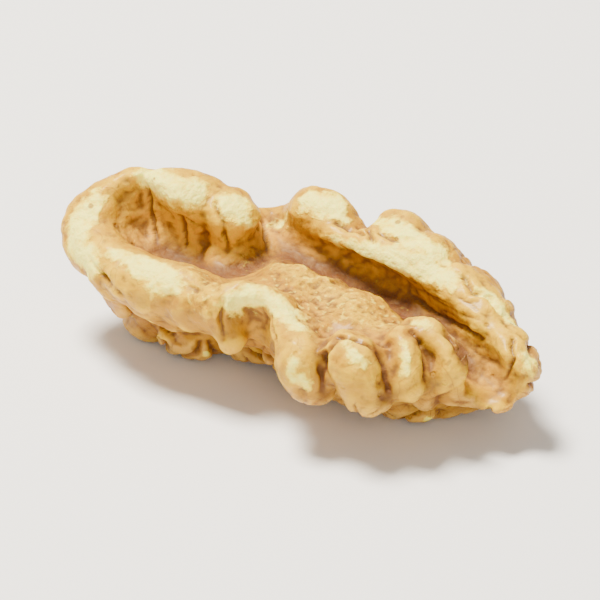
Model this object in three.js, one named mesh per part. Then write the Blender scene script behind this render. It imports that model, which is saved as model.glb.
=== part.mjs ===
// A shelled half of a cracked walnut, lying on its outer side with the inner side up.
// Millimetres, +X along the kernel's length, +Z up, origin on the surface under its middle.
//
// The half grew as one piece, so it is one solid. Its two wings meet at a waist. A thick rolled
// rim bends round the left wing. The right wing has a tall ridge behind a rough plateau and a
// row of folds hanging from its front edge. Valleys lie where the shell's partition was, and
// the outer side is covered with rounded folds, as on a brain.
import * as THREE from "three";
import { MarchingCubes } from "three/addons/objects/MarchingCubes.js";
import { mergeVertices } from "three/addons/utils/BufferGeometryUtils.js";

// Driving dimensions
const facetSize = 0.6; // grid step of the faceted surface
const gridSteps = 62; // along each side of the grid
const gridCentre = [0.3, -0.4, facetSize * 8.5]; // half a step off the floor, so the foot is flat
const smallestFacet = 0.12; // share of a step kept between the surface and a grid corner

const foldWidth = 3.3; // from crease to crease on the outer side
const foldDepth = 1.1;
const creaseWidth = 0.3; // share of a fold
const unevenness = 0.16; // slow swelling and thinning of every surface

// The outer side: one bowl under each wing
const bowls = [
  { centre: [-7.0, -0.3, 4.9], halfSize: [6.4, 4.2, 5.2], turn: 0.1, squareness: 2.3 },
  { centre: [5.1, 0.5, 4.8], halfSize: [8.4, 5.3, 5.4], turn: 0.12, squareness: 2.2 },
];
// Height of the inner side's floor, as [x, z] from the left tip to the right one
const floorLine = [
  [-17, 7.4],
  [-11.8, 7.4],
  [-8.6, 5.6],
  [-4.5, 5.5],
  [-1.5, 6.0],
  [7.5, 6.0],
  [12.5, 4.0],
  [17, 2.0],
];

// Ridges are drawn as [x, y, z, radius] along their middle line.
const ridges = {
  leftRim: [
    [-5.3, 2.1, 7.2, 1.6],
    [-7.3, 2.0, 7.9, 2.05],
    [-9.3, 1.3, 8.4, 2.25],
    [-11.2, 0.6, 8.4, 2.2],
    [-12.6, -0.4, 7.8, 2.0],
    [-13.6, -1.5, 6.9, 1.85],
    [-13.0, -2.5, 6.1, 1.8],
    [-11.3, -3.4, 5.8, 1.7],
    [-9.1, -4.2, 5.7, 1.75],
    [-6.8, -4.6, 5.7, 1.75],
    [-4.7, -4.6, 5.7, 1.85],
    [-2.9, -4.7, 5.8, 1.6],
  ],
  hook: [
    [-2.2, -5.3, 6.3, 1.3],
    [-1.4, -5.1, 6.9, 1.1],
    [-0.8, -4.5, 7.2, 1.05],
    [0.2, -4.1, 7.2, 1.05],
    [1.4, -4.1, 6.9, 1.1],
    [2.2, -4.6, 6.4, 1.2],
    [2.5, -5.0, 5.7, 1.3],
  ],
  saddle: [
    [-6.0, 4.0, 5.9, 1.2],
    [-5.3, 4.7, 5.9, 1.0],
    [-4.4, 5.4, 6.0, 1.0],
    [-3.3, 5.5, 6.6, 1.1],
  ],
  rightCrest: [
    [-0.2, 3.8, 6.9, 1.2],
    [1.6, 3.7, 7.0, 1.3],
    [3.8, 3.5, 7.2, 1.3],
    [5.6, 3.6, 7.0, 1.3],
    [7.3, 4.1, 6.7, 1.2],
    [8.4, 4.2, 6.3, 1.1],
  ],
  rightFin: [
    [1.9, 6.2, 7.8, 0.9],
    [3.3, 6.2, 8.1, 1.1],
    [4.7, 6.0, 7.7, 1.1],
    [6.1, 5.3, 7.3, 1.1],
  ],
  rightHorn: [
    [-2.6, 5.0, 6.8, 1.3],
    [-2.2, 5.2, 7.9, 1.2],
    [-1.0, 5.2, 8.0, 1.3],
    [0.1, 5.0, 7.7, 1.2],
  ],
  rightBack: [
    [-2.0, 5.1, 6.9, 1.4],
    [-0.3, 4.8, 7.0, 1.5],
    [1.6, 4.7, 6.8, 1.5],
    [3.4, 5.0, 7.0, 1.8],
    [6.0, 4.3, 6.9, 1.7],
    [7.9, 3.7, 6.4, 1.8],
    [9.6, 3.2, 5.9, 1.9],
    [11.3, 2.5, 5.4, 1.8],
    [12.8, 1.9, 5.0, 1.6],
    [14.1, 1.2, 4.6, 1.65],
    [14.8, 0.3, 4.1, 1.4],
    [14.6, -0.4, 3.4, 1.1],
  ],
  leftWall: [
    [-4.6, 2.8, 5.2, 1.7],
    [-7.4, 2.4, 5.2, 2.0],
    [-9.8, 1.8, 5.9, 2.1],
    [-11.4, 1.0, 6.3, 1.9],
    [-12.6, -0.2, 6.0, 1.8],
  ],
  rightWall: [
    [-2.6, 4.8, 4.9, 1.4],
    [0.6, 4.6, 4.6, 1.7],
    [3.8, 4.6, 4.6, 2.0],
    [7.4, 3.5, 4.2, 2.0],
    [10.6, 2.2, 3.2, 2.2],
    [13.0, 1.2, 3.3, 1.4],
  ],
};
// Rounded ends and folds that hang from the front edge
const frontFolds = [
  [[-1.4, -4.9, 5.7, 1.2], [-1.1, -5.2, 4.5, 1.1]],
  [[3.8, -5.6, 5.9, 1.3], [4.5, -6.1, 5.1, 1.7], [5.0, -5.7, 4.1, 1.6]],
  [[6.8, -5.2, 6.2, 1.4], [8.0, -5.4, 5.6, 1.75], [8.5, -5.2, 4.4, 1.6]],
  [[9.0, -2.8, 6.8, 0.9], [10.2, -3.9, 6.2, 1.05], [10.6, -4.5, 4.8, 1.05]],
  [
    [8.9, -1.7, 6.7, 0.9],
    [10.2, -1.7, 6.9, 1.05],
    [11.6, -1.8, 6.5, 1.1],
    [12.3, -2.1, 5.8, 1.1],
    [12.0, -2.4, 5.0, 1.0],
  ],
];
// Low mounds of the rough plateau
const plateau = [
  [[-1.8, 0.9, 5.0, 1.5], [0.2, 0.3, 5.3, 1.9], [2.0, 0.9, 4.8, 1.7]],
  [[2.6, -0.2, 5.1, 1.9], [4.4, -0.4, 5.2, 1.9], [6.2, 0.1, 4.6, 1.6]],
  [[-1.6, -2.9, 4.7, 1.7], [0.8, -2.0, 5.1, 1.9], [3.0, -3.2, 4.8, 1.9]],
  [[5.0, -2.2, 5.1, 1.9], [7.2, -2.6, 4.9, 1.9], [8.4, -2.4, 4.8, 1.9], [10.4, -1.8, 4.4, 1.6]],
];

// Valleys of the inner side, carved along lines drawn the same way
const valleys = [
  [
    [-11.0, -1.3, 8.9, 1.0],
    [-9.4, -1.4, 7.6, 1.5],
    [-7.2, -1.3, 6.8, 1.7],
    [-5.0, -1.0, 6.7, 1.6],
    [-3.6, 0.4, 6.8, 1.5],
    [-3.4, 2.4, 6.9, 1.4],
    [-4.4, 4.0, 7.3, 1.2],
  ],
  [
    [-2.6, 2.8, 6.8, 1.3],
    [-0.6, 2.7, 6.5, 1.2],
    [1.6, 2.8, 6.3, 1.1],
    [4.0, 2.7, 6.1, 1.1],
    [6.3, 2.2, 5.9, 1.1],
    [8.8, 1.2, 5.7, 1.2],
    [11.4, 0.2, 5.1, 1.3],
    [13.5, -0.6, 4.5, 1.4],
    [15.4, -1.4, 4.0, 1.5],
  ],
  [[0.4, -7.4, 5.0, 1.2], [0.4, -6.6, 5.8, 1.3], [0.7, -5.6, 6.0, 0.8]],
];

// Creases that cross a rim: the point they pass through, the way the rim runs there, how far
// they reach from the point, and their depth and width
const creases = [
  { at: [-11.0, 0.7, 9.0], along: [0.94, 0.34, 0], reach: 4, depth: 0.3, width: 0.45 },
  { at: [-7.0, 2.0, 8.6], along: [1, 0.05, 0], reach: 4, depth: 0.3, width: 0.45 },
  { at: [-9.2, 4.0, 7.0], along: [0.9, 0.4, 0.2], reach: 2.6, depth: 0.4, width: 0.55 },
  { at: [-13.4, 1.5, 6.6], along: [0.6, 0.8, 0], reach: 2.6, depth: 0.4, width: 0.55 },
  { at: [-9.6, -6.2, 5.0], along: [0.95, -0.3, 0.3], reach: 2.5, depth: 0.35, width: 0.5 },
  { at: [-5.4, -6.6, 5.0], along: [0.9, 0.1, -0.4], reach: 2.5, depth: 0.35, width: 0.5 },
  { at: [0.9, 5.6, 9.0], along: [0.85, 0.1, 0.5], reach: 2.2, depth: 0.7, width: 0.45 },
  { at: [5.6, 6.8, 6.8], along: [0.95, -0.3, 0], reach: 2.8, depth: 0.45, width: 0.55 },
  { at: [8.5, 5.0, 8.2], along: [0.9, -0.35, 0.2], reach: 2.8, depth: 0.4, width: 0.5 },
  { at: [13.4, 3.0, 6.2], along: [0.75, -0.6, -0.2], reach: 2.4, depth: 0.35, width: 0.5 },
];

// Narrow gaps between the folds of the front edge
const gaps = [
  [[8.9, -4.6, 7.4, 0.3], [9.6, -5.2, 6.3, 0.4], [9.9, -5.9, 4.8, 0.4]],
  [[10.0, -2.9, 8.2, 0.3], [11.2, -3.4, 6.8, 0.4], [11.8, -3.9, 5.0, 0.4]],
  [[5.6, -5.2, 7.4, 0.3], [6.2, -6.3, 6.4, 0.4], [6.6, -6.9, 4.8, 0.4]],
];

const sub = (a, b) => [a[0] - b[0], a[1] - b[1], a[2] - b[2]];
const dot = (a, b) => a[0] * b[0] + a[1] * b[1] + a[2] * b[2];

// A ridge's points joined by a smooth curve, as short tapered segments
function strokeOf(points, segmentsPerPoint = 4) {
  const middle = new THREE.CatmullRomCurve3(points.map((p) => new THREE.Vector3(p[0], p[1], p[2])));
  const widths = new THREE.CatmullRomCurve3(points.map((p) => new THREE.Vector3(p[3], 0, 0)));
  const count = (points.length - 1) * segmentsPerPoint;
  const samples = Array.from({ length: count + 1 }, (_, i) => ({
    at: middle.getPoint(i / count).toArray(),
    radius: widths.getPoint(i / count).x,
  }));
  return samples.slice(1).map((end, i) => {
    const along = sub(end.at, samples[i].at);
    return { ...samples[i], along, longSquared: dot(along, along), grows: end.radius - samples[i].radius };
  });
}

// Distance from a point to the surface of a stroke, negative inside
function strokeDistance(point, stroke) {
  let nearest = Infinity;
  for (const { at, radius, along, longSquared, grows } of stroke) {
    const x = point[0] - at[0];
    const y = point[1] - at[1];
    const z = point[2] - at[2];
    const run = (x * along[0] + y * along[1] + z * along[2]) / longSquared;
    const share = Math.min(1, Math.max(0, run));
    const dx = x - along[0] * share;
    const dy = y - along[1] * share;
    const dz = z - along[2] * share;
    nearest = Math.min(nearest, Math.sqrt(dx * dx + dy * dy + dz * dz) - radius - grows * share);
  }
  return nearest;
}

// Joins two distances with a fillet of about the given width
function blend(a, b, width) {
  const h = Math.max(width - Math.abs(a - b), 0) / width;
  return Math.min(a, b) - (h * h * width) / 4;
}

const carve = (a, b, width) => -blend(-a, b, width);

function bowlDistance(point, bowl) {
  const n = bowl.squareness;
  const [x, y, z] = sub(point, bowl.centre);
  const c = Math.cos(bowl.turn);
  const s = Math.sin(bowl.turn);
  const across = [x * c + y * s, y * c - x * s, z].map((v, i) => Math.abs(v) / bowl.halfSize[i]);
  const reach = (across[0] ** n + across[1] ** n + across[2] ** n) ** (1 / n);
  return (reach - 1) * bowl.halfSize[1];
}

function creaseDepth(point) {
  let deepest = 0;
  for (const { at, along, reach, depth, width } of creases) {
    const from = sub(point, at);
    const fade = 1 - dot(from, from) / (reach * reach);
    if (fade <= 0) continue;
    const off = dot(from, along) / (width * Math.sqrt(dot(along, along)));
    deepest = Math.max(deepest, depth * Math.min(1, fade * 2) * Math.exp(-off * off));
  }
  return deepest;
}

function floorHeight(x) {
  const next = Math.max(1, floorLine.findIndex((p) => p[0] > x));
  const [x0, z0] = floorLine[next - 1];
  const [x1, z1] = floorLine[next];
  return z0 + ((z1 - z0) * (x - x0)) / (x1 - x0);
}

// Waves of one length in scattered directions, summed and brought to about one. The zero lines
// of the sum wander as the creases of the outer side do.
function waveSum(width, firstShift) {
  const waves = Array.from({ length: 8 }, (_, i) => {
    const turn = i * 2.39996 + firstShift;
    const rise = ((i + 0.5) / 8) * 1.6 - 0.8;
    const flat = Math.sqrt(1 - rise * rise);
    const step = Math.PI / width;
    return {
      direction: [step * flat * Math.cos(turn), step * flat * Math.sin(turn), step * rise],
      shift: firstShift + i * 2.1,
    };
  });
  return (point) => waves.reduce((s, w) => s + Math.cos(dot(w.direction, point) + w.shift), 0) / 2;
}
const foldWaves = waveSum(foldWidth, 1.7);
const slowWaves = waveSum(foldWidth * 1.9, 0.4);

const ridgeStrokes = Object.values(ridges).map((points) => strokeOf(points));
const foldStrokes = frontFolds.map((points) => strokeOf(points));
const plateauStrokes = plateau.map((points) => strokeOf(points));
const gapStrokes = gaps.map((points) => strokeOf(points));
const valleyStrokes = valleys.map((points) => strokeOf(points));

function kernelDistance(point) {
  const bowl = blend(bowlDistance(point, bowls[0]), bowlDistance(point, bowls[1]), 2.2);
  if (bowl > 6) return bowl;
  const crease = 1 / (1 + (foldWaves(point) / creaseWidth) ** 2);
  const below = Math.min(1, Math.max(0, (6.6 - point[2]) / 3));
  const outer = bowl + foldDepth * crease * below;
  let inner = Math.max(outer, point[2] - floorHeight(point[0]));
  for (const stroke of plateauStrokes) inner = blend(inner, strokeDistance(point, stroke), 1.2);
  let ridge = Infinity;
  for (const stroke of ridgeStrokes) ridge = blend(ridge, strokeDistance(point, stroke), 0.5);
  ridge += 0.5 * foldDepth * crease * below;
  let all = blend(inner, ridge, 1.4);
  let hanging = Infinity;
  for (const stroke of foldStrokes) hanging = blend(hanging, strokeDistance(point, stroke), 0.15);
  all = blend(all, hanging, 0.5);
  for (const stroke of gapStrokes) all = carve(all, strokeDistance(point, stroke), 0.3);
  for (const stroke of valleyStrokes) all = carve(all, strokeDistance(point, stroke), 0.8);
  all += creaseDepth(point) + unevenness * slowWaves(point);
  return Math.max(all, -point[2]);
}

// The largest closed surface of a geometry. It leaves out pockets of a fraction of a millimetre
// that close up where two folds press together.
function largestSurface(geometry) {
  const merged = mergeVertices(geometry, facetSize / 1000);
  const index = Array.from(merged.index.array);
  const parent = Array.from({ length: merged.attributes.position.count }, (_, i) => i);
  const top = (i) => {
    while (parent[i] !== i) i = parent[i] = parent[parent[i]];
    return i;
  };
  for (let i = 0; i < index.length; i += 3) {
    parent[top(index[i + 1])] = top(index[i]);
    parent[top(index[i + 2])] = top(index[i]);
  }
  const corners = new Map();
  for (const i of index) corners.set(top(i), (corners.get(top(i)) ?? 0) + 1);
  const largest = [...corners].reduce((a, b) => (b[1] > a[1] ? b : a))[0];
  merged.setIndex(index.filter((i) => top(i) === largest));
  return merged.toNonIndexed();
}

// The kernel's surface as facets: the three.js marching cubes, filled with the distance above
function kernelGeometry() {
  const cubes = new MarchingCubes(gridSteps, new THREE.Material(), false, false, 20000);
  cubes.isolation = 0;
  const half = gridSteps / 2;
  const least = facetSize * smallestFacet;
  for (let k = 0; k < gridSteps; k++)
    for (let j = 0; j < gridSteps; j++)
      for (let i = 0; i < gridSteps; i++) {
        const point = [i, j, k].map((n, axis) => (n - half) * facetSize + gridCentre[axis]);
        const inside = -kernelDistance(point);
        const kept = Math.max(Math.abs(inside), least) * (inside < 0 ? -1 : 1);
        cubes.setCell(i, j, k, kept);
      }
  cubes.update();
  const facets = new THREE.BufferGeometry();
  const corners = cubes.positionArray.slice(0, cubes.count * 3);
  facets.setAttribute("position", new THREE.BufferAttribute(corners, 3));
  facets.scale(half * facetSize, half * facetSize, half * facetSize);
  facets.translate(...gridCentre);
  const geometry = largestSurface(facets);
  geometry.computeBoundingBox();
  const middle = geometry.boundingBox.getCenter(new THREE.Vector3());
  geometry.translate(-middle.x, -middle.y, 0);
  return geometry;
}

const skin = new THREE.MeshStandardMaterial({ color: 0xc9924a, roughness: 0.5, metalness: 0 });
const kernel = new THREE.Mesh(kernelGeometry(), skin);
kernel.name = "kernel_half";

const walnut = new THREE.Group();
walnut.add(kernel);

export default walnut;
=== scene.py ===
import math

import bpy
import numpy as np
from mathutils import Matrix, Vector


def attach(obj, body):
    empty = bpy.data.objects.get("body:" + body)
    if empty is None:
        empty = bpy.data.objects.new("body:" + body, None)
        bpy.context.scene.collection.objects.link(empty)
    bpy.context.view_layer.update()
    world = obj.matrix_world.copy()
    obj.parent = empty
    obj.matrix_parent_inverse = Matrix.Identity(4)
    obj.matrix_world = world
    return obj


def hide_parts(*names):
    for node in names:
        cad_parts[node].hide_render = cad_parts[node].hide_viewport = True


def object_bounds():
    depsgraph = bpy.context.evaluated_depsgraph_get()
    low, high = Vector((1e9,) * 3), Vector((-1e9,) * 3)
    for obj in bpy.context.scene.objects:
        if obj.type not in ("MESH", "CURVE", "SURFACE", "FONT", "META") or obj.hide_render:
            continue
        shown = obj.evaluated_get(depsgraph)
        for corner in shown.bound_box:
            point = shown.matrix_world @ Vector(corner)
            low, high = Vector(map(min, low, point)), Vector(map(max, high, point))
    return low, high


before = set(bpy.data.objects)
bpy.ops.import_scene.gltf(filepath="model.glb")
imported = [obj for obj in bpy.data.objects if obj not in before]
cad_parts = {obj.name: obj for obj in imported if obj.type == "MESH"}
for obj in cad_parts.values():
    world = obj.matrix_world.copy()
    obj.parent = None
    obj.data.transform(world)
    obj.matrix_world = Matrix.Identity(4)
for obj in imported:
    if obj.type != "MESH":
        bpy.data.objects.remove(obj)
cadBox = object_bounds()
print("frame loaded")


# Camera: turned 33 degrees and 30 degrees above the surface, as the kernel is seen
view = {
    "turn": 33,
    "rise": 30,
    "distance": 0.3,
    "target": (-0.0002, 0.0003, 0.0051),
    "lens": 306,
    "nearest": 0.01,
    "furthest": 10,
}


def towardsEye():
    turn, rise = math.radians(view["turn"]), math.radians(view["rise"])
    return Vector((
        math.sin(turn) * math.cos(rise),
        -math.cos(turn) * math.cos(rise),
        math.sin(rise),
    ))


def addCamera():
    back = towardsEye()
    bpy.ops.object.camera_add(location=Vector(view["target"]) + back * view["distance"])
    camera = bpy.context.object
    camera.name = "camera"
    camera.rotation_mode = "QUATERNION"
    camera.rotation_quaternion = (-back).to_track_quat("-Z", "Y")
    camera.data.lens = view["lens"]
    camera.data.clip_start = view["nearest"]
    camera.data.clip_end = view["furthest"]
    bpy.context.scene.camera = camera


# Small helpers
def selectOnly(piece):
    bpy.ops.object.select_all(action="DESELECT")
    piece.select_set(True)
    bpy.context.view_layer.objects.active = piece


def applyModifier(piece, kind, **values):
    modifier = piece.modifiers.new(kind.lower(), kind)
    for name, value in values.items():
        setattr(modifier, name, value)
    selectOnly(piece)
    bpy.ops.object.modifier_apply(modifier=modifier.name)


# Smooth noise over space, about -1 to 1, with the same values on every run
def noiseFrom(seed):
    rng = np.random.RandomState(seed)
    table = np.tile(rng.permutation(256), 2)
    slopes = rng.normal(size=(256, 3))
    slopes /= np.linalg.norm(slopes, axis=1)[:, None]
    evenOut = 1.6  # brings the values to about -1 to 1

    def noise(points):
        cell = np.floor(points).astype(int)
        part = points - cell
        cell &= 255
        ease = part ** 3 * (part * (part * 6 - 15) + 10)
        total = np.zeros(len(points))
        for corner in np.ndindex(2, 2, 2):
            at = (cell + corner) & 255
            slope = slopes[table[table[table[at[:, 0]] + at[:, 1]] + at[:, 2]]]
            weight = np.prod(np.where(corner, ease, 1 - ease), axis=1)
            total += weight * ((part - corner) * slope).sum(axis=1)
        return total * evenOut

    return noise


def layered(noise, points, layers):
    # A noise at several sizes, each layer as size, shift and strength
    return sum(strength * noise(points / size + shift) for size, shift, strength in layers)


def wandering(noise, points, size, shifts):
    # A slowly changing offset in each direction
    return np.stack([noise(points / size + shift) for shift in shifts], 1)


def smoothStep(low, high, values):
    share = np.clip((values - low) / (high - low), 0, 1)
    return share * share * (3 - 2 * share)


def ribbed(values, width):
    # Narrow grooves along the zero lines of a noise
    return 1 / (1 + (values / width) ** 2)


# The kernel is sculpted in millimetres, in the frame's own axes. Only the voxel is in metres.
mmPerMetre = 1000
kernelForm = {
    "voxel": 0.000136,
    "smoothRounds": 10,
    "swell": 0.1,  # slow unevenness
    "swellSize": 3.4,
}
noiseSeeds = {"slow": 3, "middling": 8, "fine": 15, "warp": 21, "spots": 34}

# The outer side faces away from a line above the kernel's middle. Brain-like folds cover it.
outerSide = {
    "lineReach": 9,
    "lineAcross": 0.4,
    "lineHeight": 9.5,
    "facing": (0.1, 0.55),
    "frontTop": 4.6,
    "backTop": 8.6,
    "backStart": 0.5,
    "topFade": 1.6,
    "foldSize": 5.2,
    "foldTurns": 2.1,
    "foldBend": 0.3,
    "foldWidth": 0.36,
    "foldDepth": 0.66,
    "foldLevel": 0.4,  # share of the depth that stands above the solid
    "smallFoldSize": 1.2,
    "smallFoldShift": 9,
    "smallFoldWidth": 0.14,
    "smallFoldDepth": 0.1,
    "smallFoldLevel": 0.3,
    "bendSize": 3.1,
    "bendShifts": (0, 17, 41),
}

# Places pressed in, as x, y, z, radius and depth
dips = [
    (-1.4, 1.6, 6.6, 1.7, 0.7), (0.6, 1.6, 6.9, 1.5, 0.55), (2.6, 1.2, 6.9, 1.4, 0.4),
    (11.8, -1.0, 7.4, 2.0, 0.9), (12.9, -1.7, 6.5, 1.6, 0.6),
]

# Marks are read off a part of the photo that is enlarged to 34 pixels a millimetre, as
# pixels across and down from its upper left corner. A mark stands for the place where the line
# from the eye through it meets the solid.
photoMarks = {
    "pixelsPerMm": 34,
    "middle": (496.3, 278.4),  # the mark that the eye looks straight at
    "middlePlace": (-0.42, 0.44, 5.7),  # and the point inside the kernel that lies behind it
}
# Creases of the inner side, as marks along each
creaseMarks = {
    "backWallLeft": [(182, 52), (195, 76), (201, 102), (206, 132), (212, 162), (216, 190)],
    "backWallMid": [(262, 130), (270, 160), (276, 198)],
    "backWallRight": [(344, 90), (335, 112), (346, 142), (354, 178), (360, 205)],
    "rimEnd": [(425, 140), (430, 160), (436, 208)],
    "rimFrontLeft": [(82, 222), (118, 260), (154, 291)],
    "hookLeft": [(362, 290), (352, 300), (345, 340), (350, 380)],
    "hookRight": [(440, 326), (452, 360), (458, 398)],
    "foldOneTwo": [(582, 383), (562, 405), (547, 440), (550, 490)],
    "foldTwoTop": [(572, 378), (612, 380), (654, 405)],
    "foldTwoThree": [(658, 404), (662, 420), (676, 460), (686, 498)],
    "foldThreeFour": [(722, 360), (742, 385), (750, 430), (752, 470)],
    "hornEdge": [(565, 145), (600, 160), (634, 174)],
    "notch": [(637, 160), (640, 172), (650, 193)],
    "crestStep": [(652, 165), (690, 182), (740, 184), (776, 219)],
    "ridgeFold": [(806, 247), (835, 257), (850, 290), (885, 300), (920, 355)],
    "ridgeWall": [(720, 290), (770, 330), (830, 360), (880, 385)],
    "ridgeEnd": [(925, 370), (930, 420), (915, 460)],
}
creaseForm = {
    "depth": 0.28,
    "width": 0.16,
    "lip": 0.35,  # height of the lips beside a crease, as a share of its depth
    "lipWidth": 3,  # as a share of its width
    "wander": 0.12,
    "wanderSize": 0.9,
    "wanderShifts": (0, 5, 11),
    "endFade": 6,
    "endDepth": 0.15,
}

# Places where the skin has rubbed off, and painted highlights, as marks with a radius in millimetres
wornAndHighlightMarks = {
    "leftTip": [(95, 95, 0.7), (62, 140, 1.0), (55, 190, 1.1), (82, 238, 0.8)],
    "backRim": [(194, 56, 0.7), (244, 72, 1.2), (292, 81, 0.9)],
    "backRimEnd": [(345, 98, 0.6), (382, 118, 0.9), (402, 150, 0.6)],
    "frontRim": [(135, 212, 0.5), (178, 226, 0.8), (222, 256, 1.0), (250, 275, 0.7)],
    "hook": [(372, 311, 0.7), (402, 290, 0.9), (440, 292, 0.9), (476, 323, 1.0), (492, 352, 0.7)],
    "horn": [(520, 100, 0.9), (558, 112, 0.9), (590, 140, 0.5)],
    # painted highlight: a glint at the foot of the horn, drawn as bare flesh
    "hornFoot": [(570, 182, 0.45), (582, 196, 0.4)],
    "crest": [(605, 198, 0.45), (650, 212, 0.8), (700, 226, 1.0), (762, 243, 0.9), (812, 266, 0.6)],
    "fin": [(660, 142, 0.6), (700, 162, 0.8), (750, 192, 0.8), (795, 228, 0.5)],
    "ridgeEdge": [(868, 285, 0.3), (905, 320, 0.35), (930, 352, 0.3)],
    "rightTip": [(965, 420, 0.35), (968, 450, 0.3)],
    # painted highlight on the top of the first fold, drawn as bare flesh
    "foldOne": [(488, 440, 0.45), (520, 480, 0.4)],
}
# More such places, as chains of balls of x, y, z and radius
wornAndHighlightPlaces = {
    "saddle": [(-4.6, 4.6, 6.9, 0.4), (-3.4, 5.0, 7.4, 0.45)],
    # painted highlights on the tops of the second, third and fourth folds, drawn as bare flesh
    "foldTwo": [(7.0, -5.9, 7.3, 0.2), (7.9, -6.2, 6.9, 0.3), (8.5, -6.0, 6.3, 0.2)],
    "foldThree": [(9.5, -3.2, 7.4, 0.2), (10.1, -4.3, 6.9, 0.3), (10.5, -4.9, 6.0, 0.2)],
    "foldFour": [(9.0, -1.9, 7.5, 0.25), (9.8, -1.7, 7.8, 0.4), (10.8, -1.6, 7.8, 0.25)],
}
# Places where the skin is thin and pale, and places of painted light: painted highlights on the fold tops
# and painted light on the back wall
paleAndPaintedLightPlaces = {
    "saddle": [(-5.4, 4.4, 6.7, 0.9), (-4.2, 5.0, 6.8, 1.0), (-3.2, 5.2, 7.6, 0.9)],
    "plateau": [(-1.2, 0.6, 6.6, 0.9), (1.4, -0.5, 7.0, 1.2), (4.6, -0.8, 6.9, 1.2),
                (6.6, -1.6, 6.8, 0.9)],
    # painted highlights on the lit tops of the folds
    "foldOne": [(3.4, -4.6, 6.9, 0.9), (4.4, -6.9, 6.2, 1.1), (5.0, -7.3, 4.8, 0.8)],
    "foldTwo": [(7.0, -5.6, 7.4, 0.8), (8.2, -6.4, 6.6, 0.9)],
    "foldThree": [(9.6, -3.4, 7.2, 0.6), (10.6, -4.8, 6.4, 0.6)],
    "foldFour": [(9.8, -1.7, 7.7, 0.8), (11.6, -1.9, 7.4, 0.9), (12.8, -2.4, 6.4, 0.7)],
    "ridge": [(8.6, 3.2, 7.6, 1.8), (11.0, 2.9, 7.0, 1.6), (13.5, 1.9, 6.2, 1.2), (15.0, 0.8, 5.4, 0.9)],
    # painted light: the back wall, which lies in shade, is painted paler
    "backWall": [(-11.2, -0.2, 7.4, 1.7), (-9.8, 0.5, 7.4, 1.9), (-8.2, 0.9, 7.0, 2.0),
                 (-6.0, 0.9, 7.2, 1.8)],
    "crest": [(-2.4, 4.6, 8.8, 1.2), (0.5, 3.9, 8.2, 0.8), (3.0, 3.6, 8.2, 1.4), (7.2, 3.6, 8.0, 1.4)],
    "backRim": [(-12.8, -0.6, 9.0, 1.3), (-9.8, 0.8, 9.7, 1.7), (-5.4, 1.8, 8.6, 1.6)],
    "frontRim": [(-13.0, -3.8, 7.0, 1.4), (-10.4, -4.7, 7.0, 1.2), (-7.2, -5.0, 7.2, 1.5),
                 (-4.4, -5.1, 7.2, 1.1), (-1.2, -5.0, 7.2, 1.0)],
}
# Places painted dark in the valleys, under the hook and between the folds: painted shade, partly the skin's
# own darker tone
darkSkinAndShadePlaces = {
    "longValley": [(-2.8, 3.0, 5.4, 1.0), (1.1, 2.9, 5.1, 1.3), (5.6, 2.4, 4.8, 1.4),
                   (8.9, 1.3, 4.4, 1.4), (11.0, 0.5, 4.0, 0.9)],
    "plateauBack": [(-2.4, 1.8, 6.0, 0.6), (-0.6, 1.9, 6.3, 0.7), (1.6, 1.9, 6.2, 0.6)],
    "leftValley": [(-9.8, -0.4, 6.0, 0.7), (-8.0, -0.4, 5.5, 0.9), (-5.4, -0.4, 5.3, 0.9),
                   (-4.0, 0.8, 5.4, 0.9), (-3.8, 2.4, 5.6, 0.7)],
    # painted shade under the hook
    "hookUnder": [(-0.6, -5.4, 6.2, 0.5), (0.6, -5.2, 6.0, 0.7), (1.6, -5.8, 5.2, 0.7)],
    "valleyEnd": [(11.0, -0.4, 6.2, 0.9), (12.2, -0.9, 6.2, 0.9), (13.2, -1.2, 5.6, 0.8)],
    # painted shade in the gaps between the folds
    "gapOne": [(6.3, -5.6, 6.8, 0.25), (5.9, -6.2, 5.2, 0.35), (5.9, -6.3, 3.8, 0.4)],
    "gapTwo": [(8.4, -4.6, 7.0, 0.2), (9.1, -5.0, 5.6, 0.3), (9.6, -5.2, 4.2, 0.4)],
    "gapThree": [(9.6, -2.6, 6.8, 0.25), (10.4, -3.1, 5.8, 0.45), (11.0, -3.6, 4.6, 0.4)],
}
# Places covered with crumbs
roughPlaces = {
    "plateau": [(-0.8, 0.8, 6.6, 1.6), (0.8, -0.6, 6.9, 2.2), (3.6, -0.8, 6.9, 2.4), (6.0, -0.6, 6.7, 1.8)],
    "plateauFront": [(1.6, -2.2, 6.8, 1.2), (3.2, -3.2, 6.8, 1.5)],
    "rimSide": [(-4.6, -4.6, 7.4, 1.3), (-2.8, -5.2, 7.4, 1.4)],
    "valleyStart": [(-4.6, 0.6, 5.6, 0.6), (-3.6, 1.6, 5.6, 0.6)],
}
placeForm = {
    "wornAndHighlightFade": 0.5,
    "paleFade": 0.8,
    "darkSkinAndShadeFade": 0.6,
    "edge": ((1.3, 0, 0.4), (0.45, 7, 0.25)),
}
# Rubbed-off places on the crests of the outer side, which the photo doesn't show
rubbedForm = {
    "rounds": 94,
    "height": 0.25,
    "size": 2.6,
    "shift": 30,
    "edge": ((0.9, 0, 0.25),),
    "crest": 0.3,
    "level": 0.6,
    "fade": (0.1, 0.35),
    "outerFade": (0.1, 0.4),
    "crestFade": (0.3, 0.6),
}

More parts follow.
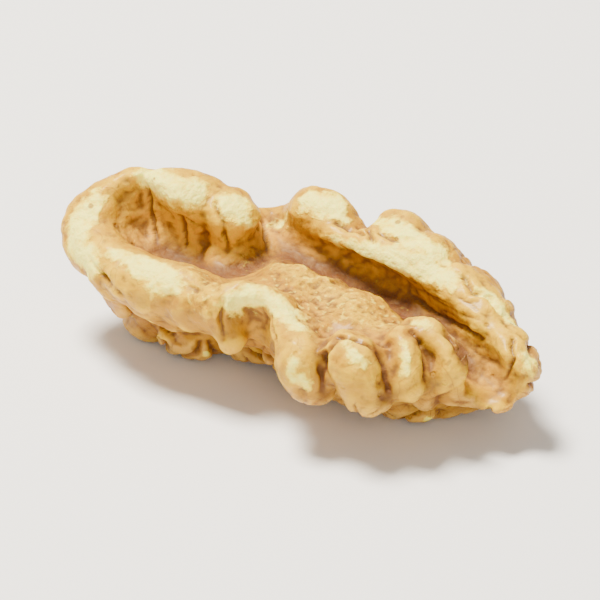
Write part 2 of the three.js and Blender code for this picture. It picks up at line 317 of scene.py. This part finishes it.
# Fine relief, each kind as its height and its layers of noise
relief = {
    "grain": 0.04,
    "grainLayers": ((0.8, 0, 0.6), (0.36, 3, 0.4)),
    "wornGrain": 0.6,  # share of the grain on the rubbed-off places
    "bumps": 0.06,  # on the rough places
    "bumpSize": 0.8,
    "bumpLayers": ((0.37, 0, 0.8),),
    "bumpGrain": ((0.24, 0, 0.4),),
    "bumpBend": 0.4,
    "bumpLevel": 0.3,
    "wrinkles": 0.08,  # along the far slope of the ridge, faint elsewhere
    "wrinkleSlant": 0.45,
    "wrinkleStretch": (0.45, 2.0, 2.0),
    "wrinkleScale": 0.75,
    "wrinkleBend": 0.5,
    "wrinkleWidth": 0.2,
    "wrinkleLevel": 0.3,
    "wrinkleFaint": 0.25,
    "ridgeFrom": (5.5, 7.5),
    "ridgeAcross": (0.7, 1.7),
    "dents": 0.13,
    "dentSize": 1.7,
    "dentBend": 0.35,
    "smallDentSize": 0.95,
    "smallDentBend": 0.3,
    "smallDents": 0.5,
    "dentLevel": 0.35,
    "outerDents": 0.3,  # share of the dents on the outer side
    "wornDepth": 0.05,
    "wornUneven": 0.5,
    "wornUnevenSize": 0.5,
}
# How far a point lies below its surroundings: rounds of averaging, depth that gives 1, and lowest
# value. A negative depth is a height above them.
depthMasks = {"hollow": (203, 0.5, -1), "proud": (55, -0.16, 0), "crease": (11, 0.035, 0)}


class Clay:
    # A mesh's points in millimetres, moved along their normals
    def __init__(self, piece):
        self.mesh = piece.data
        self.count = len(self.mesh.vertices)
        self.edges = np.empty(len(self.mesh.edges) * 2, dtype=np.int32)
        self.mesh.edges.foreach_get("vertices", self.edges)
        self.edges = self.edges.reshape(-1, 2)
        self.read()

    def read(self):
        flat = np.empty(self.count * 3, dtype=np.float32)
        self.mesh.vertices.foreach_get("co", flat)
        self.points = flat.reshape(-1, 3).astype(float) * mmPerMetre
        self.mesh.vertex_normals.foreach_get("vector", flat)
        self.normals = flat.reshape(-1, 3).astype(float)

    def write(self):
        self.mesh.vertices.foreach_set("co", (self.points / mmPerMetre).astype(np.float32).ravel())
        self.mesh.update()
        self.read()

    def push(self, amount):
        self.points = self.points + self.normals * amount[:, None]
        self.write()

    def relaxed(self, values, rounds):
        # Values averaged with their neighbours' again and again
        values = values.reshape(self.count, -1)
        first, second = self.edges[:, 0], self.edges[:, 1]
        near = np.bincount(self.edges.ravel(), minlength=self.count)[:, None]
        for _ in range(rounds):
            total = np.stack([
                np.bincount(first, column[second], self.count)
                + np.bincount(second, column[first], self.count)
                for column in values.T
            ], axis=1)
            values = 0.5 * values + 0.5 * total / near
        return values

    def hollow(self, rounds):
        # How far a point lies below its surroundings, in millimetres
        return ((self.relaxed(self.points, rounds) - self.points) * self.normals).sum(axis=1)


def placeFinder(solid):
    # Finds the place on the solid, in millimetres, that a mark stands for
    back = towardsEye()
    right = Vector((-back.y, back.x, 0)).normalized()
    up = back.cross(right)
    distance = view["distance"] * mmPerMetre
    eye = Vector(photoMarks["middlePlace"]) + back * distance
    bpy.context.view_layer.update()

    def place(across, down):
        aside, below = np.subtract((across, down), photoMarks["middle"]) / photoMarks["pixelsPerMm"]
        ray = right * aside - up * below - back * distance
        met, at, _, _ = solid.ray_cast(eye / mmPerMetre, ray.normalized())
        if not met:
            raise ValueError(f"the mark {across}, {down} lies beside the kernel")
        return tuple(at * mmPerMetre)

    return place


def nearLine(points, line, width):
    # 1 on a line, fading over its width, and fading out towards its ends
    line = np.array(line)
    steps = np.linalg.norm(np.diff(line, axis=0), axis=1)
    starts = np.concatenate([[0], np.cumsum(steps)])
    nearest = np.full(len(points), np.inf)
    run = np.zeros(len(points))
    for i, step in enumerate(steps):
        along = line[i + 1] - line[i]
        share = np.clip((points - line[i]) @ along / step ** 2, 0, 1)
        away = np.linalg.norm(points - line[i] - share[:, None] * along, axis=1)
        closer = away < nearest
        nearest[closer] = away[closer]
        run[closer] = (starts[i] + share * step)[closer] / starts[-1]
    ends = np.clip(np.minimum(run, 1 - run) * creaseForm["endFade"], creaseForm["endDepth"], 1)
    return np.exp(-((nearest / width) ** 2)) * ends


def nearPlaces(points, places, edge, fade):
    # 1 inside the chains of balls, whose outline wanders by the values of edge
    outside = np.full(len(points), np.inf)
    for chain in places.values():
        for start, end in zip(np.array(chain), np.array(chain[1:])):
            along = end[:3] - start[:3]
            share = np.clip((points - start[:3]) @ along / (along @ along), 0, 1)
            away = np.linalg.norm(points - start[:3] - share[:, None] * along, axis=1)
            outside = np.minimum(outside, away - start[3] - share * (end[3] - start[3]))
    return smoothStep(-fade, fade, edge - outside)


def copySolid():
    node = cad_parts["kernel_half"]
    kernel = node.copy()
    kernel.data = node.data.copy()
    kernel.name = kernel.data.name = "kernel"
    kernel.parent = None
    bpy.context.scene.collection.objects.link(kernel)
    selectOnly(kernel)
    bpy.ops.object.mode_set(mode="EDIT")
    bpy.ops.mesh.select_all(action="SELECT")
    bpy.ops.mesh.remove_doubles(threshold=1e-6)
    bpy.ops.object.mode_set(mode="OBJECT")
    kernel.data.materials.clear()
    return kernel


def findOuterSide(clay):
    # 1 on the outer side, fading out below the edge that shows
    form = outerSide
    at = clay.points
    line = np.stack([
        np.clip(at[:, 0], -form["lineReach"], form["lineReach"]),
        np.full(clay.count, form["lineAcross"]),
        np.full(clay.count, form["lineHeight"]),
    ], 1)
    away = at - line
    away /= np.linalg.norm(away, axis=1)[:, None]
    outer = smoothStep(*form["facing"], (away * clay.normals).sum(axis=1))
    highest = np.where(at[:, 1] < form["backStart"], form["frontTop"], form["backTop"])
    return outer * smoothStep(0, form["topFade"], highest - at[:, 2])


def foldOuterSide(clay, outer, bend, noise):
    form = outerSide
    at = clay.points
    height = noise(at / form["foldSize"] + bend * form["foldBend"]) * form["foldTurns"]
    folds = ribbed(np.sin(math.pi * height), form["foldWidth"]) - form["foldLevel"]
    small = noise(at / form["smallFoldSize"] + form["smallFoldShift"] + bend)
    smallFolds = ribbed(small, form["smallFoldWidth"]) - form["smallFoldLevel"]
    clay.push(-outer * (form["foldDepth"] * folds + form["smallFoldDepth"] * smallFolds))


def pressDips(clay):
    at = clay.points
    for x, y, z, radius, depth in dips:
        away = np.linalg.norm(at - (x, y, z), axis=1)
        clay.push(-depth * smoothStep(radius, 0, away))


def pressCreases(clay, lines, noise):
    # Presses the creases in and gives how deep each point lies in one, from 0 to 1
    form = creaseForm
    at = clay.points
    at = at + wandering(noise, at, form["wanderSize"], form["wanderShifts"]) * form["wander"]
    depth = np.zeros(clay.count)
    lips = np.zeros(clay.count)
    for line in lines:
        depth = np.maximum(depth, nearLine(at, line, form["width"]))
        lips = np.maximum(lips, nearLine(at, line, form["width"] * form["lipWidth"]))
    clay.push(form["depth"] * (form["lip"] * lips - (1 + form["lip"]) * depth))
    return depth


def rubbedCrests(clay, outer, noises):
    form = rubbedForm
    at = clay.points
    crest = np.clip(-clay.hollow(form["rounds"]) / form["height"], 0, 1)
    patches = (
        noises["slow"](at / form["size"] + form["shift"])
        + layered(noises["fine"], at, form["edge"])
        + form["crest"] * crest
        - form["level"]
    )
    return (
        smoothStep(*form["fade"], patches)
        * smoothStep(*form["outerFade"], outer)
        * smoothStep(*form["crestFade"], crest)
    )


def findPlaces(clay, wornAndHighlight, outer, noises):
    # Where the skin is rubbed off or carries painted highlights, where it is pale or carries painted light,
    # where it is dark or carries painted shade, and where it is rough
    form = placeForm
    at = clay.points
    edge = layered(noises["fine"], at, form["edge"])
    masks = {
        "wornAndHighlight": nearPlaces(at, wornAndHighlight, edge, form["wornAndHighlightFade"]),
        "pale": nearPlaces(at, paleAndPaintedLightPlaces, edge, form["paleFade"]),
        "darkSkinAndShade": nearPlaces(at, darkSkinAndShadePlaces, edge, form["darkSkinAndShadeFade"]),
    }
    masks["rough"] = nearPlaces(at, roughPlaces, edge, form["paleFade"]) * (1 - masks["wornAndHighlight"])
    masks["wornAndHighlight"] = np.maximum(masks["wornAndHighlight"], rubbedCrests(clay, outer, noises))
    return masks


def roughen(clay, masks, outer, bend, noises):
    form = relief
    at = clay.points
    middling, fine, spots = noises["middling"], noises["fine"], noises["spots"]
    grain = layered(fine, at, form["grainLayers"])
    bumps = (
        np.abs(spots(at / form["bumpSize"] + bend * form["bumpBend"]))
        + layered(spots, at, form["bumpLayers"])
        + layered(fine, at, form["bumpGrain"])
        - form["bumpLevel"]
    )
    slanted = at.copy()
    slanted[:, 1] += form["wrinkleSlant"] * at[:, 0]
    along = slanted * form["wrinkleStretch"] * form["wrinkleScale"] + bend * form["wrinkleBend"]
    wrinkles = ribbed(middling(along), form["wrinkleWidth"]) - form["wrinkleLevel"]
    ridge = smoothStep(*form["ridgeFrom"], at[:, 0]) * smoothStep(*form["ridgeAcross"], at[:, 1])
    wrinkled = form["wrinkleFaint"] + (1 - form["wrinkleFaint"]) * ridge
    dents = (
        np.abs(middling(at / form["dentSize"] + bend * form["dentBend"]))
        + form["smallDents"] * np.abs(spots(at / form["smallDentSize"] + bend * form["smallDentBend"]))
        - form["dentLevel"]
    )
    uneven = 1 + form["wornUneven"] * fine(at / form["wornUnevenSize"])
    clay.push(
        form["grain"] * grain * (1 - (1 - form["wornGrain"]) * masks["wornAndHighlight"])
        + form["dents"] * dents * (1 - (1 - form["outerDents"]) * outer)
        + form["bumps"] * bumps * masks["rough"]
        - form["wrinkles"] * wrinkles * wrinkled * (1 - masks["wornAndHighlight"])
        - form["wornDepth"] * masks["wornAndHighlight"] * uneven
    )


def fitSolidBox(clay):
    # Back to the solid's box, resting on the surface
    low, high = np.array(cadBox) * mmPerMetre
    at = clay.points
    share = (at - at.min(axis=0)) / (at.max(axis=0) - at.min(axis=0))
    clay.points = low + share * (high - low)
    clay.write()


def addKernel():
    kernel = copySolid()
    place = placeFinder(kernel)
    creases = [[place(*mark) for mark in line] for line in creaseMarks.values()]
    wornAndHighlight = dict(wornAndHighlightPlaces)
    for name, chain in wornAndHighlightMarks.items():
        wornAndHighlight[name] = [(*place(across, down), radius) for across, down, radius in chain]
    print("marks placed on the solid")

    applyModifier(kernel, "REMESH", mode="VOXEL", voxel_size=kernelForm["voxel"])
    applyModifier(kernel, "SMOOTH", factor=0.5, iterations=kernelForm["smoothRounds"])
    clay = Clay(kernel)
    print("kernel remeshed:", clay.count, "points")

    noises = {name: noiseFrom(seed) for name, seed in noiseSeeds.items()}
    clay.push(kernelForm["swell"] * noises["slow"](clay.points / kernelForm["swellSize"]))
    outer = findOuterSide(clay)
    bend = wandering(noises["warp"], clay.points, outerSide["bendSize"], outerSide["bendShifts"])
    foldOuterSide(clay, outer, bend, noises["middling"])
    pressDips(clay)
    creased = pressCreases(clay, creases, noises["warp"])
    masks = findPlaces(clay, wornAndHighlight, outer, noises)
    roughen(clay, masks, outer, bend, noises)
    fitSolidBox(clay)

    masks["outer"] = outer
    for name, (rounds, full, lowest) in depthMasks.items():
        masks[name] = np.clip(clay.hollow(rounds) / full, lowest, 1)
    # The pressed creases join the painted crease shade
    masks["crease"] = np.maximum(masks["crease"], creased ** 2)
    for name, values in masks.items():
        attribute = kernel.data.attributes.new(name, "FLOAT", "POINT")
        attribute.data.foreach_set("value", values.astype(np.float32))
    selectOnly(kernel)
    bpy.ops.object.shade_smooth()
    print("kernel sculpted")
    return kernel


# Colours of the skin and of the white flesh where it is rubbed off; the flesh colours also paint highlights
# on the fold tops
skinLook = {
    "skin": (0.46, 0.215, 0.004),
    "skinPale": (0.82, 0.5, 0.006),
    "skinOuter": (0.33, 0.14, 0.03),
    "skinOuterPale": (0.66, 0.38, 0.06),
    # painted bounce light: a paler, duller skin in the inner hollows
    "skinShaded": (0.68, 0.33, 0.035),
    # dark red-brown: the skin's own dark flecks and crumbs, and painted shade in the valleys, hollows and
    # creases
    "skinDarkAndShade": (0.13, 0.047, 0.02),
    "vein": (0.22, 0.065, 0.012),
    "fleshAndHighlight": (1.0, 0.88, 0.17),
    "fleshWarm": (0.93, 0.70, 0.06),
    "pore": (0.25, 0.08, 0.01),
    "shine": (1.0, 0.82, 0.36),
}
# Noises of the surface, as scale, detail, roughness and distortion
skinNoises = {
    "broad": (160, 3, 0.55, 0.6),
    "mottle": (650, 4, 0.6, 0),
    "speckle": (2600, 2, 0.5, 0),
    "fleck": (1500, 2, 0.5, 0.4),
}
veins = {
    "lines": ((190, 0.008, 0.45), (420, 0.014, 0.25)),  # scale, width and strength
    "detail": (3, 0.5, 0.7),  # detail, roughness and distortion
    "patches": (0.4, 0.6, 0.1, 0.9),
    "inside": 0.8,
    "outsideMore": 0.8,
}
pores = {"scale": 900, "size": (0.09, 0.2), "patches": (0.5, 0.56), "share": 0.7}
# Where a colour starts to cover the one below it, where it is full, and how much it then covers
skinLayers = {
    "broad": (0.42, 0.72, 0.4),
    "thin": (0.3, 1.3, 0.65),
    "proud": (0.3, 1.0, 0.7),
    "shaded": (-0.1, 0.6, 0.65),
    "mottle": (0.5, 0.78, 0.5),
    "fleck": (0.6, 0.72, 0.4),
    "sunkDarkAndShade": (0.2, 1.0, 0.7),
    "paleCrumb": (0.56, 0.68, 0.6),
    "darkCrumb": (0.44, 0.32, 0.35),
    "bareAndHighlight": (0.25, 0.75, 1),
    "white": (0.6, 1.05, 1),
}
skinShares = {"outer": 0.7, "darkSkinAndShade": 0.92, "crease": 0.8}
# How far the noises shift the edges of the pale, the proud and the torn places; the torn places include the
# painted highlights
skinSways = {"thin": 1.2, "proud": 0.8, "tornAndHighlight": 1.1, "tornFinely": 0.7}
heightShares = {"speckle": 0.5, "vein": 0.25, "pore": -0.8, "crumb": 1.0}
skinFinish = {
    "roughness": (0.35, 0.7, 0.5, 0.65),  # from the speckle: its span, and the roughness at its ends
    "dullHollow": (-0.1, 0.5),
    "coat": (0.2, 0.02),  # on glossy and on dull skin
    "coatRoughness": 0.26,
    "specular": 0.2,
    "bump": 0.8,
    "bumpHeight": 0.00014,
    "glow": 0.3,  # light that wanders through the kernel
    "glowRadius": (1.0, 0.55, 0.15),
    "glowDepth": 0.0009,
}


class Paint:
    # Adds nodes to a material and joins them
    def __init__(self, name):
        self.material = bpy.data.materials.new(name)
        self.material.use_nodes = True
        self.nodes = self.material.node_tree.nodes
        self.links = self.material.node_tree.links
        self.shader = self.nodes["Principled BSDF"]
        self.place = self.nodes.new("ShaderNodeTexCoord").outputs["Object"]

    def give(self, socket, value):
        if isinstance(value, bpy.types.NodeSocket):
            self.links.new(value, socket)
        elif isinstance(value, tuple) and len(value) == 3 and socket.type == "RGBA":
            socket.default_value = (*value, 1)
        else:
            socket.default_value = value

    def attribute(self, name):
        node = self.nodes.new("ShaderNodeAttribute")
        node.attribute_name = name
        return node.outputs["Fac"]

    def noise(self, scale, detail, rough, warp):
        node = self.nodes.new("ShaderNodeTexNoise")
        self.give(node.inputs["Vector"], self.place)
        node.inputs["Scale"].default_value = scale
        node.inputs["Detail"].default_value = detail
        node.inputs["Roughness"].default_value = rough
        node.inputs["Distortion"].default_value = warp
        return node.outputs["Fac"]

    def math(self, operation, a, b=0.5, c=0.5, clamp=False):
        node = self.nodes.new("ShaderNodeMath")
        node.operation = operation
        node.use_clamp = clamp
        for socket, value in zip(node.inputs, (a, b, c)):
            self.give(socket, value)
        return node.outputs[0]

    def sway(self, noise, amount, value):
        # A value made uneven by a noise round 0.5
        return self.math("MULTIPLY_ADD", self.math("SUBTRACT", noise, 0.5), amount, value)

    def span(self, value, low, high, outLow=0.0, outHigh=1.0):
        node = self.nodes.new("ShaderNodeMapRange")
        node.interpolation_type = "SMOOTHSTEP"
        for name, given in (("Value", value), ("From Min", low), ("From Max", high),
                            ("To Min", outLow), ("To Max", outHigh)):
            self.give(node.inputs[name], given)
        return node.outputs["Result"]

    def cover(self, value, start, full, share):
        # How much a colour covers the one below it
        return self.span(value, start, full, 0, share)

    def mix(self, share, a, b):
        node = self.nodes.new("ShaderNodeMix")
        node.data_type = "RGBA"
        self.give(node.inputs[0], share)
        self.give(node.inputs[6], a)
        self.give(node.inputs[7], b)
        return node.outputs[2]

    def cells(self, scale):
        node = self.nodes.new("ShaderNodeTexVoronoi")
        self.give(node.inputs["Vector"], self.place)
        node.inputs["Scale"].default_value = scale
        return node.outputs["Distance"]

    def bump(self, height, strength, distance):
        node = self.nodes.new("ShaderNodeBump")
        self.give(node.inputs["Height"], height)
        node.inputs["Strength"].default_value = strength
        node.inputs["Distance"].default_value = distance
        return node.outputs["Normal"]


def skinColour(paint, mask, noise):
    # Amber, paler where it is thin and on what stands proud, with painted highlights on the fold tops,
    # painted bounce light in the inner hollows, and red-brown painted shade, partly the skin's own tone, in
    # the valleys, the outer hollows and the creases
    look, layer, share = skinLook, skinLayers, skinShares
    mottle, outer, hollow = noise["mottle"], mask["outer"], mask["hollow"]
    skin = paint.mix(paint.cover(noise["broad"], *layer["broad"]), look["skin"], look["skinPale"])
    skin = paint.mix(paint.math("MULTIPLY", outer, share["outer"]), skin, look["skinOuter"])
    # Thin skin, rubbed-off places, painted highlights and painted light take the paler colour
    lifted = paint.mix(outer, look["skinPale"], look["skinOuterPale"])
    thin = paint.sway(mottle, skinSways["thin"], paint.math("MAXIMUM", mask["pale"], mask["wornAndHighlight"]))
    skin = paint.mix(paint.cover(thin, *layer["thin"]), skin, lifted)
    proud = paint.sway(mottle, skinSways["proud"], mask["proud"])
    skin = paint.mix(paint.cover(proud, *layer["proud"]), skin, lifted)
    # Painted bounce light: the inner hollows take a paler, duller colour
    inside = paint.math("SUBTRACT", 1.0, outer)
    shaded = paint.math("MULTIPLY", inside, paint.cover(hollow, *layer["shaded"]))
    skin = paint.mix(shaded, skin, look["skinShaded"])

    for name in ("mottle", "fleck"):
        skin = paint.mix(paint.cover(noise[name], *layer[name]), skin, look["skinDarkAndShade"])
    # Painted shade, partly the skin's own darker tone, in the hollows of the outer side
    sunkDarkAndShade = paint.math("MULTIPLY", outer, paint.cover(hollow, *layer["sunkDarkAndShade"]))
    # Painted shade, partly the skin's own darker tone, in the dark places of the valleys, under the hook
    # and between the folds
    dark = paint.math("MAXIMUM", sunkDarkAndShade, paint.math("MULTIPLY", mask["darkSkinAndShade"], share["darkSkinAndShade"]))
    skin = paint.mix(dark, skin, look["skinDarkAndShade"])
    # Painted shade along the creases
    skin = paint.mix(paint.math("MULTIPLY", mask["crease"], share["crease"]), skin, look["skinDarkAndShade"])
    return skin


def crumbColour(paint, mask, noise, skin):
    # Pale crumbs lie outside the valleys only, dark ones on all rough places
    light = paint.math("SUBTRACT", 1.0, mask["darkSkinAndShade"], clamp=True)
    pale = paint.cover(noise["speckle"], *skinLayers["paleCrumb"])
    pale = paint.math("MULTIPLY", paint.math("MULTIPLY", mask["rough"], light), pale)
    skin = paint.mix(pale, skin, skinLook["fleshWarm"])
    dark = paint.cover(noise["speckle"], *skinLayers["darkCrumb"])
    return paint.mix(paint.math("MULTIPLY", mask["rough"], dark), skin, skinLook["skinDarkAndShade"])


def veinMask(paint, mask, noise):
    # Veins wander over the skin, where a noise crosses its middle value
    vein = None
    for scale, width, strength in veins["lines"]:
        off = paint.math("ABSOLUTE", paint.math("SUBTRACT", paint.noise(scale, *veins["detail"]), 0.5))
        line = paint.span(off, 0.0, width, strength, 0)
        vein = line if vein is None else paint.math("MAXIMUM", vein, line)
    vein = paint.math("MULTIPLY", vein, paint.span(noise["broad"], *veins["patches"]))
    side = paint.math("MULTIPLY_ADD", mask["outer"], veins["outsideMore"], veins["inside"])
    return paint.math("MULTIPLY", vein, side)


def poreMask(paint, noise):
    pore = paint.span(paint.cells(pores["scale"]), *pores["size"], 1, 0)
    return paint.math("MULTIPLY", pore, paint.span(noise["broad"], *pores["patches"]))


def kernelMaterial():
    look, finish = skinLook, skinFinish
    paint = Paint("kernelSkin")
    sockets = paint.shader.inputs
    names = ("wornAndHighlight", "pale", "darkSkinAndShade", "rough", "hollow", "proud", "crease", "outer")
    mask = {name: paint.attribute(name) for name in names}
    noise = {name: paint.noise(*values) for name, values in skinNoises.items()}
    speckle = noise["speckle"]
    vein = veinMask(paint, mask, noise)
    pore = poreMask(paint, noise)
    skin = crumbColour(paint, mask, noise, skinColour(paint, mask, noise))
    skin = paint.mix(vein, skin, look["vein"])

    # Flesh: cream, warmer at the edge of the skin, with a few dark pores; the same colours paint the
    # highlights on the fold tops and at the horn's foot
    tornAndHighlight = paint.sway(noise["mottle"], skinSways["tornAndHighlight"], mask["wornAndHighlight"])
    tornAndHighlight = paint.sway(speckle, skinSways["tornFinely"], tornAndHighlight)
    fleshAndHighlight = paint.mix(paint.cover(tornAndHighlight, *skinLayers["white"]), look["fleshWarm"], look["fleshAndHighlight"])
    fleshAndHighlight = paint.mix(paint.math("MULTIPLY", pore, pores["share"]), fleshAndHighlight, look["pore"])
    bareAndHighlight = paint.cover(tornAndHighlight, *skinLayers["bareAndHighlight"])
    paint.give(sockets["Base Color"], paint.mix(bareAndHighlight, skin, fleshAndHighlight))

    # Gloss: low on crumbs, flesh and in the valleys
    crumbly = paint.math("MAXIMUM", mask["rough"], bareAndHighlight)
    dull = paint.math("MAXIMUM", crumbly, paint.span(mask["hollow"], *finish["dullHollow"]))
    dull = paint.math("MAXIMUM", dull, mask["darkSkinAndShade"])
    paint.give(sockets["Roughness"], paint.span(speckle, *finish["roughness"]))
    paint.give(sockets["Coat Weight"], paint.span(dull, 0, 1, *finish["coat"]))
    sockets["Coat Roughness"].default_value = finish["coatRoughness"]
    sockets["Specular IOR Level"].default_value = finish["specular"]
    sockets["Specular Tint"].default_value = (*look["shine"], 1)

    # The finest relief: grain, veins, pores and crumbs
    crumb = paint.math("MULTIPLY", crumbly, speckle)
    height = noise["mottle"]
    for name, part in {"speckle": speckle, "vein": vein, "pore": pore, "crumb": crumb}.items():
        height = paint.math("MULTIPLY_ADD", part, heightShares[name], height)
    paint.give(sockets["Normal"], paint.bump(height, finish["bump"], finish["bumpHeight"]))

    sockets["Subsurface Weight"].default_value = finish["glow"]
    sockets["Subsurface Radius"].default_value = finish["glowRadius"]
    sockets["Subsurface Scale"].default_value = finish["glowDepth"]
    return paint.material


stageLook = {
    "floor": (0.86, 0.85, 0.83),
    "floorSize": 3.0,
    "floorRoughness": 0.75,
    "worldColour": (1, 0.98, 0.94),
    "world": 0.46,
}


def addStage():
    bpy.ops.mesh.primitive_plane_add(size=stageLook["floorSize"])
    floor = bpy.context.object
    floor.name = "floor"
    paint = Paint("floorPaper")
    paint.shader.inputs["Base Color"].default_value = (*stageLook["floor"], 1)
    paint.shader.inputs["Roughness"].default_value = stageLook["floorRoughness"]
    floor.data.materials.append(paint.material)
    world = bpy.data.worlds.new("softRoom")
    bpy.context.scene.world = world
    world.use_nodes = True
    background = world.node_tree.nodes["Background"]
    background.inputs["Color"].default_value = (*stageLook["worldColour"], 1)
    background.inputs["Strength"].default_value = stageLook["world"]


# Lights: place, size, power and colour, each aimed at the kernel
lights = {
    "key": {"at": (-0.12, 0.0, 0.36), "size": 0.12, "power": 5.4, "tint": (1, 0.94, 0.84)},
    "fill": {"at": (0.24, -0.32, 0.20), "size": 0.3, "power": 1.0, "tint": (1, 0.94, 0.84)},
}


def addLights():
    for name, light in lights.items():
        bpy.ops.object.light_add(type="AREA", location=light["at"])
        lamp = bpy.context.object
        lamp.name = name
        lamp.data.size = light["size"]
        lamp.data.energy = light["power"]
        lamp.data.color = light["tint"]
        lamp.rotation_mode = "QUATERNION"
        aim = Vector(view["target"]) - Vector(light["at"])
        lamp.rotation_quaternion = aim.to_track_quat("-Z", "Y")


addCamera()
addStage()
addLights()
kernel = addKernel()
kernel.data.materials.append(kernelMaterial())
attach(kernel, "root")
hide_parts("kernel_half")
print("kernel finished")
